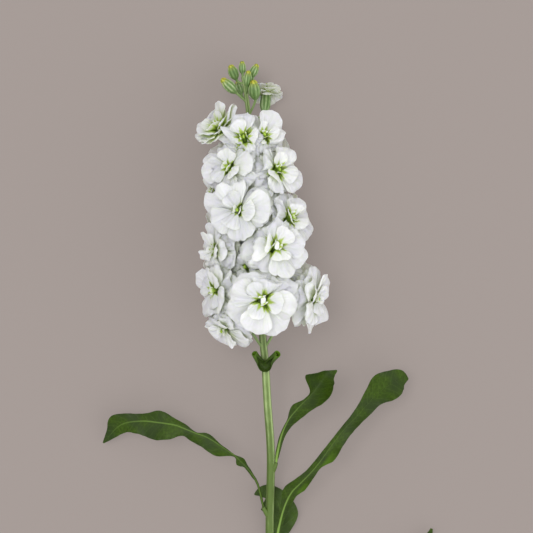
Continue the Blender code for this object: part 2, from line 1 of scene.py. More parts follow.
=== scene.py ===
# A cut stem of double white stock, laid on a pale table and seen from above.
# The frame gives the plain solids. Each is replaced here by a finer piece of the same form.
# Shapes are worked out in millimetres and become metres when a mesh is made.

import functools
import math
import random

import bpy
import numpy as np
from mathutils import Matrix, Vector


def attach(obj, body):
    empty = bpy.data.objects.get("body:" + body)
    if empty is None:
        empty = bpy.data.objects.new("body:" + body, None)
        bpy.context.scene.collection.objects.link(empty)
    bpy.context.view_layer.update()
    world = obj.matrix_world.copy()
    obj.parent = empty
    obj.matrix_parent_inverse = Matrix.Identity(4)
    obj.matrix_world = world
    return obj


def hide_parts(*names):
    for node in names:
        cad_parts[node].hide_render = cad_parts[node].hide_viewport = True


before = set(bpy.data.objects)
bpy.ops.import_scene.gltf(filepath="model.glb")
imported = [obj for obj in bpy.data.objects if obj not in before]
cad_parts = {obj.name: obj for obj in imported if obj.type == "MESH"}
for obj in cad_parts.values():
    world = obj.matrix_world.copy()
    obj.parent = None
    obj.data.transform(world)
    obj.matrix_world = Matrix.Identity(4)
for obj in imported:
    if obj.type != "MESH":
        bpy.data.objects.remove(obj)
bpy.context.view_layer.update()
mm = 0.001
up = np.array((0.0, 0.0, 1.0))
aboveTable = 0.02  # the least height of any point, in mm


# Small helpers.
def toLinear(hexColour):
    values = [int(hexColour[k : k + 2], 16) / 255 for k in (1, 3, 5)]
    return tuple(v / 12.92 if v <= 0.04045 else ((v + 0.055) / 1.055) ** 2.4 for v in values) + (1.0,)


def addNode(tree, kind, settings=None, inputs=(), output=0):
    # Adds a shader node with its properties and inputs, and gives one of its outputs.
    # An input takes a number, a hex colour, or another node's output, which is linked to it.
    node = tree.nodes.new("ShaderNode" + kind)
    for name, value in (settings or {}).items():
        setattr(node, name, value)
    for key, value in inputs.items() if isinstance(inputs, dict) else enumerate(inputs):
        if isinstance(value, bpy.types.NodeSocket):
            tree.links.new(value, node.inputs[key])
        else:
            node.inputs[key].default_value = toLinear(value) if isinstance(value, str) else value
    return node.outputs[output]


def newMaterial(name, surface):
    # A new material, its node tree, addNode for that tree, and its shader. What is the same
    # all over it is set on the shader's own sockets.
    made = bpy.data.materials.new(name)
    made.use_nodes = True
    tree = made.node_tree
    shader = tree.nodes["Principled BSDF"]
    for socket, value in surface.items():
        shader.inputs[socket].default_value = value
    return made, tree, functools.partial(addNode, tree), shader


def smoothRows(rows, share):
    # The rows at each share (0 to 1) of a smooth curve through rows of numbers.
    rows = np.asarray(rows, float)
    place = np.clip(share, 0.0, 1.0) * (len(rows) - 1)
    k = np.minimum(place.astype(int), len(rows) - 2)
    u = (place - k)[..., None]
    a, b = rows[np.maximum(k - 1, 0)], rows[k]
    c, d = rows[k + 1], rows[np.minimum(k + 2, len(rows) - 1)]
    return 0.5 * (
        2 * b + (c - a) * u + (2 * a - 5 * b + 4 * c - d) * u**2 + (3 * b - a - 3 * c + d) * u**3
    )


def unit(vector):
    return vector / np.maximum(np.linalg.norm(vector, axis=-1, keepdims=True), 1e-9)


class Mesh:
    # Gathers closed shells for one piece, with a value per point for each attribute.
    def __init__(self):
        self.points, self.faces, self.slots, self.values, self.count = [], [], [], {}, 0

    def add(self, points, faces, slots=None, **values):
        self.points.append(np.asarray(points, float))
        self.points[-1][:, 2] = np.maximum(self.points[-1][:, 2], aboveTable)
        self.faces += [tuple(v + self.count for v in face) for face in faces]
        self.slots += list(slots) if slots is not None else [0] * len(faces)
        for name, value in values.items():
            self.values.setdefault(name, []).append(np.asarray(value, float))
        self.count += len(points)

    def build(self, name, materials, slot, *nodes):
        data = bpy.data.meshes.new(name)
        data.from_pydata((np.concatenate(self.points) * mm).tolist(), [], self.faces)
        for material in materials:
            data.materials.append(material)
        data.polygons.foreach_set("material_index", self.slots)
        data.shade_smooth()
        data.set_sharp_from_angle(angle=math.radians(62))
        for key, value in self.values.items():
            value = np.concatenate(value)
            kind, field = ("FLOAT_VECTOR", "vector") if value.ndim == 2 else ("FLOAT", "value")
            data.attributes.new(key, kind, "POINT").data.foreach_set(field, value.ravel())
        data.update()
        piece = bpy.data.objects.new(name, data)
        bpy.context.scene.collection.objects.link(piece)
        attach(piece, "root")
        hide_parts(*nodes)


def gridFaces(rows, columns, closed=False):
    faces = []
    for r in range(rows - 1):
        for c in range(columns if closed else columns - 1):
            a, b = r * columns + c, r * columns + (c + 1) % columns
            faces.append((a, b, b + columns, a + columns))
    return faces


def shell(grid, thickness):
    # A closed sheet: the grid of points moved half its thickness to each side, and a rim.
    rows, columns = grid.shape[:2]
    normal = unit(np.cross(np.gradient(grid, axis=1), np.gradient(grid, axis=0)))
    half = normal * np.asarray(thickness)[..., None] / 2
    points = np.concatenate([(grid + half).reshape(-1, 3), (grid - half).reshape(-1, 3)])
    count = rows * columns
    front = gridFaces(rows, columns)
    back = [tuple(v + count for v in reversed(face)) for face in front]
    rim = list(range(columns))
    rim += [r * columns + columns - 1 for r in range(1, rows)]
    rim += [(rows - 1) * columns + c for c in range(columns - 2, -1, -1)]
    rim += [r * columns for r in range(rows - 2, 0, -1)]
    edge = [(b, a, a + count, b + count) for a, b in zip(rim, rim[1:] + rim[:1])]
    # The grid's own winding faces against its normal, so every face is turned.
    faces = [tuple(reversed(face)) for face in front + back + edge]
    return points, faces, [0] * len(front) + [1] * len(back) + [0] * len(edge)


def tube(centres, radii, sides, shape=None, lifts=None):
    # A closed tube through the centres. shape(k, angles) gives each ring's radii as shares,
    # and lifts(k, angles) how far each point moves along the tube.
    centres = np.asarray(centres, float)
    tangent = unit(np.gradient(centres, axis=0))
    reference = up if abs(tangent[0][2]) < 0.9 else np.array((1.0, 0.0, 0.0))
    angles = 2 * math.pi * (np.arange(sides) + 0.5) / sides
    points = []
    for k, centre in enumerate(centres):
        reference = unit(reference - tangent[k] * (reference @ tangent[k]))
        across = np.cross(tangent[k], reference)
        share = shape(k, angles) if shape else np.ones(sides)
        ring = np.outer(np.cos(angles) * share, reference) + np.outer(np.sin(angles) * share, across)
        lift = lifts(k, angles) if lifts else np.zeros(sides)
        points.append(centre + ring * radii[k] + np.outer(lift, tangent[k]))
    rows = len(centres)
    faces = gridFaces(rows, sides, closed=True)
    faces.append(tuple(reversed(range(sides))))
    faces.append(tuple(range((rows - 1) * sides, rows * sides)))
    return np.concatenate(points), faces, np.tile(angles, rows)


def bentCurve(control, shares):
    a, b, c, d = (np.asarray(p) for p in control)
    s = np.asarray(shares)[:, None]
    return a * (1 - s) ** 3 + 3 * b * s * (1 - s) ** 2 + 3 * c * s**2 * (1 - s) + d * s**3


# Colours as they look in daylight, in sRGB, and some painted shades, marked below.
colours = {
    "petal": "#F2F3F2",
    "petalShade": "#EDF1E8",
    "petalTinge": "#DCE8C6",
    # A painted shade for petal parts bent back below the bloom.
    "petalPaintedShadeBelow": "#C9D4A6",
    # A painted shade for gaps between petals that little light reaches.
    "petalPaintedGapShade": "#B7C490",
    "throat": "#A5C24A",
    # The throat's deepest green, also used as painted shade in the slits between the claws.
    "throatDeepAndShade": "#3F5F12",
    "stemLight": "#A6BC80",
    "stemDark": "#566C30",
    "calyx": "#6C8A50",
    "calyxRib": "#ACBD90",
    "calyxDeep": "#4E6936",
    "leaf": "#2E410B",
    "leafPale": "#3B5313",
    "leafDark": "#2B3B17",
    "leafRib": "#7F9E4C",
    "leafUnder": "#46592E",
    "leafInside": "#628A1C",
    "budTip": "#AEB036",
    # A painted shade for the troughs of the bud tips' folds.
    "budTipFoldShade": "#858C22",
}
# Settings that many of the materials' nodes share.
mixed = {"data_type": "RGBA"}
smooth = {"interpolation_type": "SMOOTHSTEP"}
plus, minus, times = ({"operation": name} for name in ("ADD", "SUBTRACT", "MULTIPLY"))
timesPlus, sine = {"operation": "MULTIPLY_ADD"}, {"operation": "SINE"}


# The stem's centreline from the cut end to the tip: x, y, z and radius. The width and length of
# its streaks and the size of its blotches are in mm too, and coarse enough to show.
stem = {
    "line": (
        (1.0, -199.4, 2.64, 2.80),
        (1.0, -188.0, 2.64, 2.80),
        (1.2, -150.0, 5.5, 2.80),
        (1.2, -95.0, 14.0, 2.75),
        (1.9, -52.0, 21.0, 2.70),
        (-0.3, -18.0, 26.5, 2.60),
        (-1.8, 8.0, 30.6, 2.50),
        (-3.4, 25.0, 32.9, 2.40),
        (-6.1, 63.0, 34.8, 2.20),
        (-9.4, 114.0, 31.3, 1.90),
        (-11.9, 160.0, 25.0, 1.60),
        (-14.4, 182.0, 22.0, 1.35),
        (-16.4, 192.0, 20.8, 1.00),
    ),
    "sides": 40,
    "step": 2.5,
    "ribs": 5,
    "ribHeight": 0.045,
    "ribTurn": 4.36,
    "wind": 0.005,
    # The angle round the stem of a paler band of painted light down one side.
    "paintedLitSide": 0.9,
    "cutSlant": 2.5,
    "streaks": (1.111, 13.889),
    "blotches": 14.286,
}


def stemFrame(along):
    # Centre, direction, upward normal, sideways normal and radius of the stem at y = along.
    shares = np.linspace(0.0, 1.0, 4001)
    ys = smoothRows(stem["line"], shares)[:, 1]
    share = np.interp(along, ys, shares)
    x, y, z, radius = smoothRows(stem["line"], np.array([share]))[0]
    ends = smoothRows(stem["line"], np.array([share - 0.004, share + 0.004]))[:, :3]
    direction = unit(ends[1] - ends[0])
    upward = unit(up - direction * direction[2])
    return np.array((x, y, z)), direction, upward, np.cross(direction, upward), radius


# Each bloom: place along the stem, angle round it (0 faces up, 90 faces +X), distance of
# its throat from the stem's centre, tilt towards the tip, its petals' length, and the angle of
# its inner petals from its axis.
blooms = (
    ("a", 147, -8, 26, 8, 18, 62),
    ("b", 129.5, -33, 25.5, 8, 21, 66),
    ("c", 126.5, 37, 26, 5, 20.5, 56),
    ("d", 102.5, -18, 30.5, 5, 22.5, 70),
    ("e", 97, 48, 30, 10, 20.5, 42),
    ("f", 79.5, 20, 34.5, 5, 22, 50),
    ("g", 81, -58, 30.5, 5, 19.5, 58),
    ("h", 57, -58, 32.5, 0, 21, 72),
    ("i", 50, 3, 37, -5, 21.8, 76),
    ("j", 48, 60, 39.5, -8, 19.5, 66),
    ("k", 34, -50, 30.5, -35, 18.5, 62),
    ("l", 65, 42, 27, -5, 18.5, 60),
    ("m", 157, -52, 25.5, 38, 16.5, 60),
    ("n", 184, 133, 18.5, 72, 9, 60),
    ("o", 118, -92, 25, 0, 19, 66),
    ("p", 44, 178, 30, -15, 20, 66),
    ("q", 57, 126, 28, -8, 19.5, 66),
    ("r", 60, -128, 31, -5, 21, 66),
    ("s", 80, -176, 28.5, 0, 20.5, 66),
    ("t", 99, 106, 27.5, 5, 20, 66),
    ("u", 92, -128, 27.5, 5, 20, 66),
    ("v", 112, 166, 25, 5, 20, 66),
    ("w", 138, -144, 22, 10, 18.5, 66),
    ("x", 134, 116, 22.5, 10, 18.5, 66),
    ("y", 154, 172, 20, 8, 17.5, 66),
    ("z", 69, -17, 24.5, 0, 17, 66),
    ("aa", 148, 20, 24, 10, 17, 50),
)

bloomShape = {
    "throatDepth": 4.0,
    "stalkRadius": 0.85,
    "overlapSlant": 0.8,
    "clearance": 0.5,
    "stemClearance": 10.0,
    "softFrom": 0.7,
    "tablePress": 1.8,
    "wallWave": 1.5,
    "under": 2.5,
    # How far below a bloom's foot, in mm, its petals reach the full painted shade.
    "paintedShadeRun": 7.0,
    "halfOpen": {"m": 0.6, "n": 0.95},
    "greenCups": {"m": 0.6},
    "rayTurns": 7.5,
    "tufts": {"i": 1.0, "f": 1.0, "h": 0.6, "e": 0.4},
    "greenReach": {"i": 7.2, "f": 6.9, "z": 1.5, "m": 6.5, "n": 2.0, "j": 2.5, "k": 2.5, "l": 3.0},
    "usualGreen": (4.0, 6.5),
    "seeds": {"petals": 41, "fill": 500, "detail": 900},
}
# The knob in each throat, from its foot up: its height, then its radius and how green it is,
# first plain and then with a full tuft of pale petals.
knob = (
    (0.0, 1.7, 1.0, 1.7, 1.0),
    (2.0, 1.6, 1.0, 1.6, 1.0),
    (4.0, 1.3, 1.0, 1.5, 0.9),
    (5.2, 1.0, 1.0, 1.5, 0.5),
    (6.4, 1.0, 0.9, 2.0, 0.2),
    (7.4, 0.95, 0.8, 2.2, 0.1),
    (8.0, 0.7, 0.7, 1.8, 0.05),
    (8.2, 0.3, 0.6, 0.8, 0.0),
)

# Each layer of petals: how many, then as shares of the bloom's petal length their length and
# half width, their angles from the bloom's axis at the claw and further out, and then the
# height and radius at which the claws begin. The inner layer's last angle is the bloom's own.
petalLayers = (
    (4, 1.0, 0.52, 34.0, 99.0, 0.6, 3.2),
    (4, 0.94, 0.46, 26.0, 83.0, 2.2, 2.6),
    (3, 0.62, 0.3, 14.0, None, 3.8, 1.8),
)
# Thin petals that only this scene has: bent back under the bloom, and small ones in its throat.
fillLayers = (
    (5, 0.9, 0.44, 44.0, 128.0, -0.4, 3.0),
    (5, 0.98, 0.46, 40.0, 110.0, 0.2, 3.1),
    (2, 0.3, 0.13, 2.0, 20.0, 4.0, 0.9),
)
# The range that each petal's share or angle is drawn from, in the order of the draws.
petalDraws = {
    "turn": (-10.0, 10.0),
    "length": (0.86, 1.06),
    "width": (0.84, 1.06),
    "end": (-8.0, 7.0),
    "curl": (4.0, 34.0),
    "cup": (-0.30, 0.05),
}
# The same for its fine form: waves, pleats, crease, fold, curled lip and notch.
fineDraws = {
    "wave": (0.35, 1.1),
    "waveTurns": (3.0, 6.5),
    "edgeTurns": (3.0, 5.0),
    "phase": (0.0, 6.28),
    "pleats": (9.0, 15.0),
    "crease": (-0.3, 0.3),
    "fold": (-2.2, 2.2),
    "roll": (-0.12, 0.12),
    "lip": (-1.2, 1.2),
    "notch": (-0.2, 0.18),
}
# A petal's form, with the heights of its waves in mm for one of the usual length, and the
# patterns of its skin: each one's size in mm across, along and between petals, and its detail.
# The grain is drawn coarser than the skin's real cells, so that it shows.
petal = {
    "grid": (20, 21),
    "lowerGrid": (13, 13),
    "lower": "opqrstuvwxy",
    "usualLength": 20.0,
    "thickness": 0.2,
    "clawShare": 0.13,
    "opens": (0.04, 0.34),
    "fan": 112.0,
    "rim": (0.66, 0.345),
    "rimWidth": 1.04,
    "notchWidth": 0.2,
    "dent": 0.03,
    "edgeWave": 1.7,
    "ripple": 0.4,
    "pleat": 0.24,
    "creaseWidth": 2.0,
    "skinWidth": 8.0,
    "patterns": {
        "mottle": ((2.857, 2.857, 2.857), 3.0),
        "streaks": ((0.7692, 20.0, 1.0), 2.0),
        "folds": ((1.818, 14.286, 1.0), 1.0),
        "grain": ((0.3125, 4.5455, 1.0), 2.0),
    },
    "veinSpacing": 1.2083,
}


def makePetalMaterial():
    # Thin soft petal tissue: light passes through it, fine veins and soft folds fan out, and
    # the claw is green.
    surface = {
        "Roughness": 0.55,
        "Specular IOR Level": 0.3,
        "Subsurface Weight": 0.8,
        "Subsurface Radius": (1.0, 1.0, 0.75),
        "Subsurface Scale": 0.0016,
    }
    made, tree, add, shader = newMaterial("white_stock_petal", surface)
    throat, tinge, deep = (
        add("Attribute", {"attribute_name": name}, output="Fac")
        for name in ("throat", "tinge", "deep")
    )
    spot = add("Attribute", {"attribute_name": "petal_spot"}, output="Vector")
    noise = {}
    for name, (sizes, detail) in petal["patterns"].items():
        scales = [1 / size for size in sizes]
        scaled = add("Mapping", inputs={"Vector": spot, "Scale": scales})
        noise[name] = add("TexNoise", inputs={"Vector": scaled, "Scale": 1.0, "Detail": detail})
    # Painted shade: the folds' valleys are faintly greener, and so are the gaps that little light gets
    # into, which ambient occlusion finds.
    shade = add("MapRange", smooth, (noise["mottle"], 0.35, 0.75))
    foldValleyShade = add("MapRange", smooth, (noise["folds"], 0.34, 0.5, 0.3, 0.0))
    opened = add("AmbientOcclusion", {"samples": 8}, {"Distance": 0.009}, "AO")
    paintedGapShade = add("MapRange", smooth, (opened, 0.12, 0.5, 0.65, 0.0))
    pale = colours["petal"]
    for share, tone in (
        (shade, "petalShade"),
        (tinge, "petalTinge"),
        (deep, "petalPaintedShadeBelow"),
        (foldValleyShade, "petalTinge"),
        (paintedGapShade, "petalPaintedGapShade"),
    ):
        pale = add("Mix", mixed, {0: share, 6: pale, 7: colours[tone]}, 2)
    # Deep in the throat the green darkens, partly the throat's own colour and partly painted shade in
    # its depth and between the claws.
    reach = add("Math", timesPlus, (noise["streaks"], 0.4, throat))
    share = add("MapRange", smooth, (reach, 0.8, 1.35))
    green = add("Mix", mixed, {0: share, 6: colours["throat"], 7: colours["throatDeepAndShade"]}, 2)
    share = add("MapRange", smooth, (reach, 0.3, 0.8))
    tree.links.new(add("Mix", mixed, {0: share, 6: pale, 7: green}, 2), shader.inputs["Base Color"])
    # Relief: the wide folds, and on them the veins and the grain of the skin.
    across = add("SeparateXYZ", inputs=(spot,))
    turns = add("Math", times, (across, 2 * math.pi / petal["veinSpacing"]))
    veins = add("MapRange", smooth, (add("Math", sine, (turns,)), 0.2, 1.0, 0.0, 0.25))
    height = add("Math", plus, (veins, noise["grain"]))
    folds = {"Strength": 0.6, "Distance": 0.002, "Height": noise["folds"]}
    fine = {"Strength": 0.28, "Distance": 0.0003, "Height": height}
    fine["Normal"] = add("Bump", inputs=folds)
    tree.links.new(add("Bump", inputs=fine), shader.inputs["Normal"])
    return made


class Bloom:
    # Where one bloom stands, and the room that its neighbours leave it.
    def __init__(self, number, row):
        self.name, self.along, turn, reach, tilt, self.size, self.inner = row
        self.number = number
        self.open = bloomShape["halfOpen"].get(self.name, 1.0)
        centre, direction, upward, sideways, _ = stemFrame(self.along)
        turn, tilt = math.radians(turn), math.radians(tilt)
        self.outward = upward * math.cos(turn) + sideways * math.sin(turn)
        self.axis = self.outward * math.cos(tilt) + direction * math.sin(tilt)
        self.throat = centre + self.outward * reach
        self.foot = self.throat - self.axis * bloomShape["throatDepth"]
        self.side = unit(np.cross(direction, self.axis))
        self.front = np.cross(self.axis, self.side)
        self.fromStem = (self.foot - centre) @ self.outward

    def findRoom(self, others):
        # Planes that the petals stay inside: the neighbours', the stem's and the table's.
        normals, distances, sides = [], [], []
        for other in others:
            if other is self:
                continue
            between = other.throat - self.throat
            distance = np.linalg.norm(between)
            share = 0.5 + (self.size**2 - other.size**2) / (2 * distance**2)
            over = 1 if (self.size, -self.number) > (other.size, -other.number) else -1
            raised = (self.outward + other.outward) * bloomShape["overlapSlant"] / 2
            normal = unit(between / distance - raised * over)
            reach = (self.throat + between * share - self.foot) @ normal
            normals.append(normal)
            distances.append(max(reach - bloomShape["clearance"] / 2, 1.0))
            sides.append(1.0 if self.number < other.number else -1.0)
        inner = min(bloomShape["stemClearance"], self.fromStem * 0.55)
        normals += [-self.outward, -up]
        distances += [self.fromStem - inner, self.foot[2] + bloomShape["tablePress"]]
        self.normals, self.distances = np.array(normals), np.array(distances)
        self.sides = np.array(sides + [0.0, 0.0])

    def place(self, x, y, z, under):
        # Where a point of a petal comes to lie: pressed softly into the room there is.
        line = x[..., None] * self.side + y[..., None] * self.front + z[..., None] * self.axis
        reach = np.linalg.norm(line, axis=-1)
        line = line / np.maximum(reach, 1e-6)[..., None]
        facing = line @ self.normals.T
        distances = self.distances + under * np.abs(self.sides)
        rooms = np.where(facing > 1e-4, distances / np.maximum(facing, 1e-4), 1e9)
        # The planes between neighbours wave, alike for both, so that no edge runs straight.
        x, y, z = (self.foot[k] + line[..., k : k + 1] * np.minimum(rooms, 60.0) for k in range(3))
        wave = (np.sin(0.62 * x + 0.5 * z) + np.sin(0.55 * y - 0.7 * z)) * bloomShape["wallWave"] / 2
        room = np.maximum(rooms + wave * self.sides / np.maximum(facing, 0.35), 1.0).min(axis=-1)
        share = reach / room
        soft = 1 - bloomShape["softFrom"]
        pressed = 1 - soft * np.exp((bloomShape["softFrom"] - share) / soft)
        share = np.where(share <= bloomShape["softFrom"], share, pressed)
        settled = self.foot + line * (room * share)[..., None]
        settled[..., 2] = np.maximum(settled[..., 2], petal["thickness"] * 0.6)
        return settled


def petalHalfWidth(share):
    blade = np.clip((share - 0.12) / 0.88, 0.0, 1.0)
    broad = blade**0.9 * np.sqrt(np.maximum(1 - blade**5, 0.0)) / 0.675
    return petal["clawShare"] * (1 - blade) + broad


def drawPetals(bloom, layers, seed, under=0.0):
    # With the solid's seed the draws are the solid's, so each petal keeps its place and size.
    draw = random.Random(seed + bloom.number)
    firstTurn = draw.uniform(0, 360)
    petals = []
    for number, (count, length, width, start, end, lift, ring) in enumerate(layers):
        last = bloom.inner if end is None else end
        count -= end is None and bloom.name in petal["lower"]
        for k in range(count):
            drawn = {name: draw.uniform(*span) for name, span in petalDraws.items()}
            petals.append(
                {
                    "turn": math.radians(firstTurn + 360 * k / count + 45 * number + drawn["turn"]),
                    "length": bloom.size * length * drawn["length"],
                    "width": bloom.size * width * drawn["width"],
                    "start": math.radians(start),
                    "end": math.radians(last + drawn["end"]) * bloom.open,
                    "curl": math.radians(drawn["curl"]) * bloom.open,
                    "cup": drawn["cup"],
                    "lift": lift,
                    "ring": ring,
                    "under": under if last > 95 else 0.0,
                }
            )
    return petals


def petalSurface(shape, fine, size):
    # Lines fan out from the claw to a round rim. Returns the surface's three coordinates from
    # the bloom's foot, the share of the way to the rim, the place across the fan from -1 to 1,
    # and how far out each point lies as a share of the petal's length.
    rows, columns = size
    s = (np.linspace(0.0, 1.0, rows)[:, None] ** 0.9) * np.ones((1, columns))
    t = np.linspace(-1.0, 1.0, columns)[None, :] * np.ones((rows, 1))
    length, width, phase = shape["length"], shape["width"], fine["phase"]
    # The rim is round but for one notch and small dents.
    swing = t * math.radians(petal["fan"])
    notch = 1 - fine["notch"] * np.exp(-(((t - fine["crease"]) / petal["notchWidth"]) ** 2))
    notch += petal["dent"] * np.sin(t * fine["edgeTurns"] * 4.1 + phase * 2)
    middle, swell = petal["rim"]
    rimAlong = (middle + swell * np.cos(swing) * notch) * length
    rimAcross = width * petal["rimWidth"] * np.sin(swing) * (0.93 + 0.07 * notch)
    opened = np.clip((s - 0.08) / 0.92, 0.0, 1.0) ** 0.85
    across = petal["clawShare"] * width * t * (1 - opened) + rimAcross * opened
    share = rimAlong * s / length
    # The line along its middle rises out of the claw, bends over and curls towards the rim.
    steps = np.linspace(0.0, 1.05, 106)
    first, last = petal["opens"]
    spread = np.clip((steps - first) / (last - first), 0.0, 1.0)
    spread = spread * spread * (3 - 2 * spread)
    angles = shape["start"] + (shape["end"] - shape["start"]) * spread
    angles += shape["curl"] * np.maximum(0.0, (steps - 0.5) / 0.5) ** 2
    stride = length * (steps[1] - steps[0])
    middles = (angles[1:] + angles[:-1]) / 2
    away = shape["ring"] + np.concatenate([[0], np.cumsum(np.sin(middles) * stride)])
    high = shape["lift"] + np.concatenate([[0], np.cumsum(np.cos(middles) * stride)])
    angle = np.interp(share, steps, angles)
    out, rise = np.interp(share, steps, away), np.interp(share, steps, high)
    # Cup, waves, ripples at the rim, pleats, one crease, a twist and the lip.
    half = np.maximum(width * petalHalfWidth(share), width * 0.25)
    scale = length / petal["usualLength"]
    wave = petal["edgeWave"] * scale * fine["wave"]
    raised = shape["cup"] * across**2 / half
    raised += wave * s**3 * np.sin(t * fine["waveTurns"] + phase)
    raised += petal["ripple"] * scale * s**5 * np.sin(t * fine["edgeTurns"] * 2.6 + phase * 3)
    pleated = np.sin(math.pi * np.clip(s, 0, 1) ** 0.8)
    raised += petal["pleat"] * scale * pleated * np.sin(t * fine["pleats"] + phase)
    fromCrease = (across - fine["crease"] * width * s) / petal["creaseWidth"]
    crease = np.exp(-np.sqrt(fromCrease**2 + 0.02)) - 0.4
    raised += fine["fold"] * scale * crease * np.sin(math.pi * s * 0.75)
    raised += fine["roll"] * across * s
    lip = np.clip((s - 0.75) / 0.25, 0, 1) ** 2 * (0.6 + 0.4 * np.cos(t * 3))
    raised += fine["lip"] * scale * lip
    out = out - np.cos(angle) * raised
    rise = rise + np.sin(angle) * raised
    x = out * math.cos(shape["turn"]) - across * math.sin(shape["turn"])
    y = out * math.sin(shape["turn"]) + across * math.cos(shape["turn"])
    return x, y, rise, s, t, share


def addPetal(mesh, bloom, shape, greenReach, draw):
    fine = {name: draw.uniform(*span) for name, span in fineDraws.items()}
    size = petal["lowerGrid"] if bloom.name in petal["lower"] else petal["grid"]
    x, y, z, s, t, share = petalSurface(shape, fine, size)
    grid = bloom.place(x, y, z, shape["under"])
    points, faces, _ = shell(grid, petal["thickness"] * (1 - 0.4 * s**6))
    # Green spreads from the throat in rays and lies thinly over the claws. Petal parts bent back below
    # the bloom's foot get a painted greener shade.
    reach = share * shape["length"]
    rays = 0.92 + 0.24 * np.cos(t * bloomShape["rayTurns"])
    green = greenReach * (1 - 0.5 * np.abs(t) ** 0.5) * rays
    # Painted shade: the claws' sides are pushed towards the throat's deepest green where they overlap.
    gap = np.abs(t) ** 1.5 * np.clip(1.2 - reach / green * 0.5, 0.0, 0.8)
    cup = bloomShape["greenCups"].get(bloom.name, 0.0) * np.clip(1.2 - share / 0.8, 0.0, 1.0)
    throat = np.maximum(np.clip(1.25 - reach / green + gap, 0.0, 1.0), cup)
    tinge = 0.6 * np.clip(1 - share / 0.6, 0.0, 1.0)
    # Painted shade: the further a point lies below the bloom's foot, the more of the greener shade it
    # gets.
    height = (points - bloom.foot) @ bloom.axis
    offset = np.full_like(s, draw.uniform(0, 90))
    spot = np.stack([t * petal["skinWidth"], reach, offset], axis=-1).reshape(-1, 3)
    mesh.add(
        points,
        faces,
        throat=np.tile(throat.ravel(), 2),
        tinge=np.tile(tinge.ravel(), 2),
        deep=np.clip(-height / bloomShape["paintedShadeRun"], 0.0, 1.0),
        petal_spot=np.tile(spot, (2, 1)),
    )


def buildBlooms(places, material):
    seeds = bloomShape["seeds"]
    heights, plainRadii, plainGreen, tuftRadii, tuftGreen = np.transpose(knob)
    for bloom in places:
        draw = random.Random(seeds["detail"] + bloom.number)
        mesh = Mesh()
        petals = drawPetals(bloom, petalLayers, seeds["petals"])
        petals += drawPetals(bloom, fillLayers, seeds["fill"], bloomShape["under"])
        usualGreen = draw.uniform(*bloomShape["usualGreen"])
        greenReach = bloomShape["greenReach"].get(bloom.name, usualGreen)
        for shape in petals:
            addPetal(mesh, bloom, shape, greenReach, draw)
        tuft = bloomShape["tufts"].get(bloom.name, 0.0)
        centres = [bloom.foot + bloom.axis * height for height in heights]
        radii = plainRadii * (1 - tuft) + tuftRadii * tuft
        points, faces, angles = tube(centres, radii, 16, lambda k, a: 1 - 0.3 * np.cos(a * 2))
        green = np.repeat(plainGreen * (1 - tuft) + tuftGreen * tuft, 16)
        spot = np.stack([angles * 2, green, green], axis=-1)
        plain = np.zeros(len(points))
        mesh.add(points, faces, throat=green, tinge=plain, deep=plain, petal_spot=spot)
        name = "bloom_" + bloom.name
        mesh.build(name + "_petals", [material], "white_petal", name)


# A calyx's length and radius, and how far down the stem from its bloom its stalk begins; the
# swollen part's radii as (share of the way up, share of the radius); its ribs and seams.
calyx = {
    "usual": (9.0, 2.6, 9.0),
    "others": {"j": (9.0, 2.6, 31.0), "k": (9.0, 2.6, 17.0), "n": (12.0, 3.4, 22.0)},
    "profile": ((0, 0.5), (0.08, 0.62), (0.2, 0.81), (0.35, 1), (0.6, 1), (0.85, 0.96), (1, 0.9)),
    "sides": 32,
    "ribHeight": 0.05,
    "seamDepth": 0.10,
    "seamWidth": 0.13,
}


# Each bud: where its stalk leaves the stem, the calyx's foot and tip, and its radius.
buds = (
    (186.5, (-20.6, 190.4, 21.8), (-23.5, 197.2, 23.3), 3.2),
    (190.0, (-16.4, 194.0, 20.8), (-16.7, 200.0, 21.3), 2.4),
    (188.0, (-10.8, 191.8, 21.3), (-7.8, 198.0, 22.3), 2.7),
    (180.0, (-13.3, 185.4, 28.0), (-12.7, 192.8, 30.0), 2.6),
    (175.0, (-20.8, 181.6, 24.8), (-27.8, 188.2, 27.0), 3.4),
    (166.0, (-8.2, 177.0, 28.0), (-9.1, 186.2, 30.5), 3.7),
    (173.0, (-17.3, 181.2, 16.5), (-19.6, 187.4, 13.8), 2.6),
    (177.0, (-12.4, 187.0, 13.8), (-11.2, 193.6, 10.8), 2.5),
)
# Their profile: share of the way to the tip, share of the radius, and how far the sepals part.
budShape = {
    "stalkRadius": 0.7,
    "profile": (
        (0.0, 0.42, 0.0),
        (0.12, 0.72, 0.0),
        (0.3, 0.95, 0.0),
        (0.5, 1.03, 0.0),
        (0.7, 1.01, 0.0),
        (0.85, 0.92, 0.0),
        (0.94, 0.81, 0.3),
        (1.0, 0.7, 0.7),
        (1.03, 0.6, 1.0),
    ),
    "tipProfile": ((0.0, 0.56), (0.08, 0.58), (0.14, 0.53), (0.2, 0.42), (0.25, 0.26), (0.27, 0.1)),
    "sepalTip": 1.7,
    "sepalBend": 0.3,
    "tipFolds": 0.14,
}


# The swelling under each leaf: its run along the stem, its radii and the gap to the leaf.
leafBase = {"run": 12.0, "radii": (1.6, 1.7, 1.1), "gap": 0.35}


